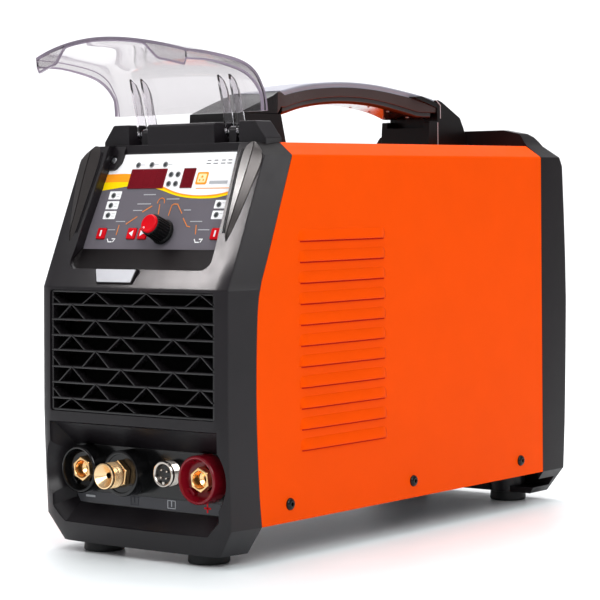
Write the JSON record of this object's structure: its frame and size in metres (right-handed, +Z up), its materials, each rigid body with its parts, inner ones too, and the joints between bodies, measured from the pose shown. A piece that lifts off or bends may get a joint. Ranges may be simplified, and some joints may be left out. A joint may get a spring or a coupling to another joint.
{
  "type": "welding machine",
  "caption": "Portable inverter welding machine: folded steel cover between moulded end frames, tilted control panel under a hinged clear lid, carrying handle, connector bay, louvred sides.",
  "frame": {"origin": "on the floor, in the middle of the machine's footprint with the lid open", "axes": "+Z up, -Y out of the front with the connectors, +X to the right seen from the front"},
  "size_m": [0.206, 0.524, 0.3999],
  "materials": {
    "frame_plastic": "fine moulded texture",
    "cover_paint": "satin orange powder coat",
    "panel_grey": "satin",
    "steel": "zinc plated",
    "black_steel": "black oxide",
    "foot_rubber": "matt",
    "brass": "turned",
    "nickel": "nickel plated",
    "socket_black": "glossy",
    "socket_red": "glossy",
    "signal_red": "glossy",
    "display_red": "smoked red window",
    "led_lens": "dark lens",
    "board": "solder mask",
    "clear": "clear, lightly smoked",
    "handle_plastic": "semi gloss",
    "handle_inlay": "satin light grey",
    "silver": "brushed",
    "aluminium": "extruded",
    "copper_winding": "enamelled wire",
    "core": "ferrite",
    "cap_sleeve": "shrink sleeve",
    "hose": "smooth"
  },
  "bodies": {
    "case": {"front_frame": "frame_plastic", "front_grille": "frame_plastic", "rear_frame": "frame_plastic", "rear_panel": "black_steel", "cover": "cover_paint", "base_pan": "steel", "foot_front_left": "foot_rubber", "foot_front_right": "foot_rubber", "foot_rear_left": "foot_rubber", "foot_rear_right": "foot_rubber", "foot_screws": "steel", "cover_screws": "black_steel", "connector_plate": "frame_plastic", "negative_socket": "socket_black", "negative_contact": "brass", "positive_socket": "socket_red", "positive_contact": "brass", "torch_insulator": "socket_black", "torch_connector": "brass", "control_socket_shell": "nickel", "control_socket_insert": "socket_black", "panel_plate": "panel_grey", "control_board": "board", "current_display": "display_red", "pulse_display": "display_red", "indicator_leds": "led_lens", "encoder_body": "steel", "hinge_pins": "steel", "handle_upper": "handle_plastic", "handle_lower": "handle_plastic", "handle_strip": "handle_inlay", "handle_front_bracket": "handle_plastic", "handle_rear_bracket": "handle_plastic", "handle_screws": "steel", "badge": "silver", "fan_frame": "socket_black", "fan_guard": "nickel", "fan_screws": "black_steel", "switch_body": "socket_black", "cable_gland": "socket_black", "gas_inlet": "brass", "earth_stud": "brass", "main_board": "board", "heatsinks": "aluminium", "power_modules": "core", "capacitors": "cap_sleeve", "transformer": "core", "output_choke": "copper_winding", "gas_valve": "brass", "gas_hose": "hose"},
    "lid": {"clear_lid": "clear"},
    "knob_group": {"encoder_shaft": "steel", "knob": "socket_black", "knob_cap": "signal_red"},
    "button_left_key": {"button_left": "signal_red"},
    "button_back_key": {"button_back": "signal_red"},
    "button_next_key": {"button_next": "signal_red"},
    "button_right_key": {"button_right": "signal_red"},
    "fan": {"fan_rotor": "socket_black"},
    "rocker": {"switch_rocker": "signal_red"}
  },
  "joints": [
    {"name": "lid_hinge", "type": "hinge", "parent": "case", "child": "lid", "pos_m": [0, -0.158, 0.329], "axis": [1, 0, 0], "range_deg": [0, 83]},
    {"name": "knob_turn", "type": "hinge", "parent": "case", "child": "knob_group", "pos_m": [0.0085, -0.20866, 0.25468], "axis": [0, -0.9135, 0.4067], "continuous": true},
    {"name": "button_left_press", "type": "slide", "parent": "case", "child": "button_left_key", "axis": [0, 0.9135, -0.4067], "range_m": [0, 0.0008], "stiffness_N_per_m": 600},
    {"name": "button_back_press", "type": "slide", "parent": "case", "child": "button_back_key", "axis": [0, 0.9135, -0.4067], "range_m": [0, 0.0008], "stiffness_N_per_m": 600},
    {"name": "button_next_press", "type": "slide", "parent": "case", "child": "button_next_key", "axis": [0, 0.9135, -0.4067], "range_m": [0, 0.0008], "stiffness_N_per_m": 600},
    {"name": "button_right_press", "type": "slide", "parent": "case", "child": "button_right_key", "axis": [0, 0.9135, -0.4067], "range_m": [0, 0.0008], "stiffness_N_per_m": 600},
    {"name": "fan_spin", "type": "hinge", "parent": "case", "child": "fan", "pos_m": [0, 0.2054, 0.172], "axis": [0, 1, 0], "continuous": true},
    {"name": "rocker_tilt", "type": "hinge", "parent": "case", "child": "rocker", "pos_m": [-0.048, 0.224, 0.269], "axis": [1, 0, 0], "range_deg": [-20, 0]}
  ]
}
